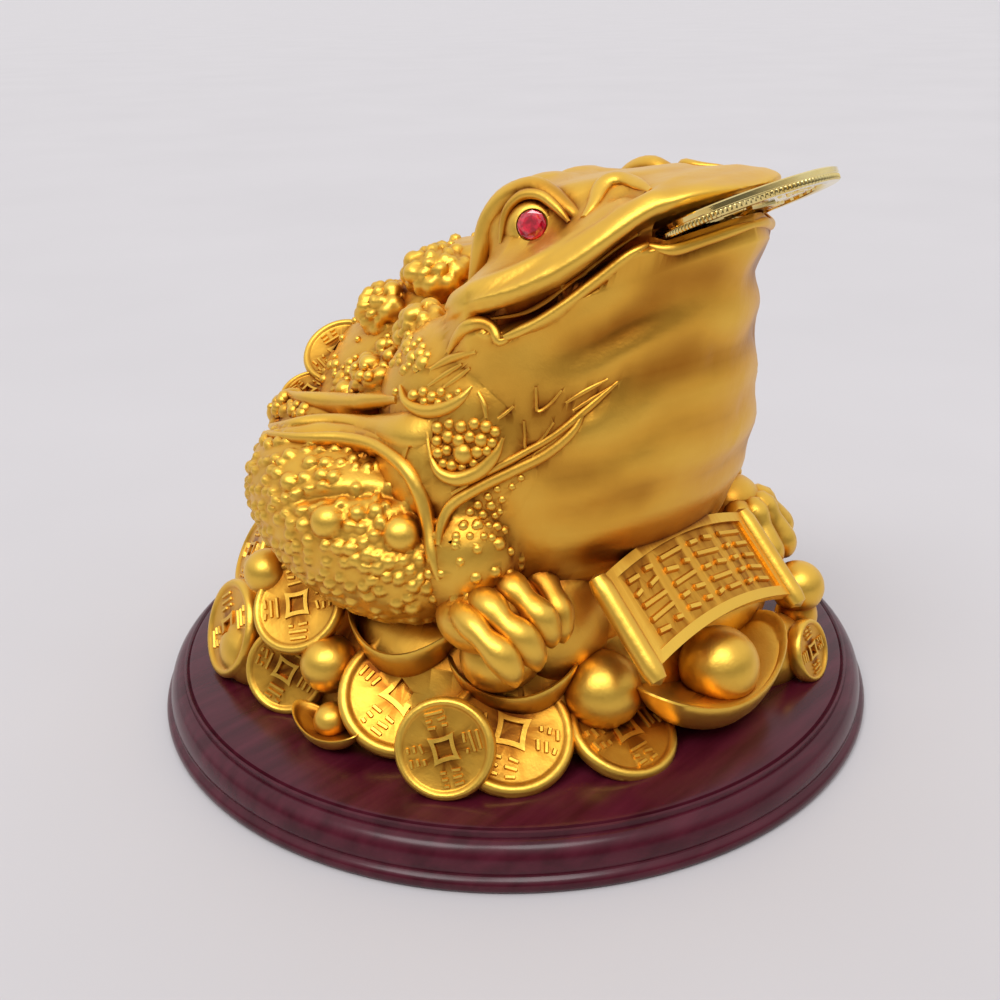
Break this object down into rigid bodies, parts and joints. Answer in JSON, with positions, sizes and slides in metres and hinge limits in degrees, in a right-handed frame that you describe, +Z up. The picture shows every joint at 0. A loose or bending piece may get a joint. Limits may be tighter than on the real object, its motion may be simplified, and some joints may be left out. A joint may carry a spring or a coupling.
{
  "type": "money toad figure",
  "caption": "Gilded toad on a heap of coins and boat ingots, with a loose coin in its mouth, red eye gems and a scroll, on a turned round base.",
  "frame": {"origin": "centre of the underside of the round base", "axes": "+Z up, the toad looks along -Y, its right side is at -X"},
  "size_m": [0.17, 0.17, 0.1278],
  "materials": {
    "lacquer": "dark maroon gloss lacquer",
    "gilded_paint": "satin metallic gold paint over cast resin",
    "polished_gold": "polished pale gold plating",
    "red_gem": "faceted clear red stone"
  },
  "bodies": {
    "root": {"wooden_base": "lacquer", "toad_figure": "gilded_paint", "mouth_coin": "polished_gold", "eye_gem_right": "red_gem", "eye_gem_left": "red_gem"}
  },
  "joints": []
}
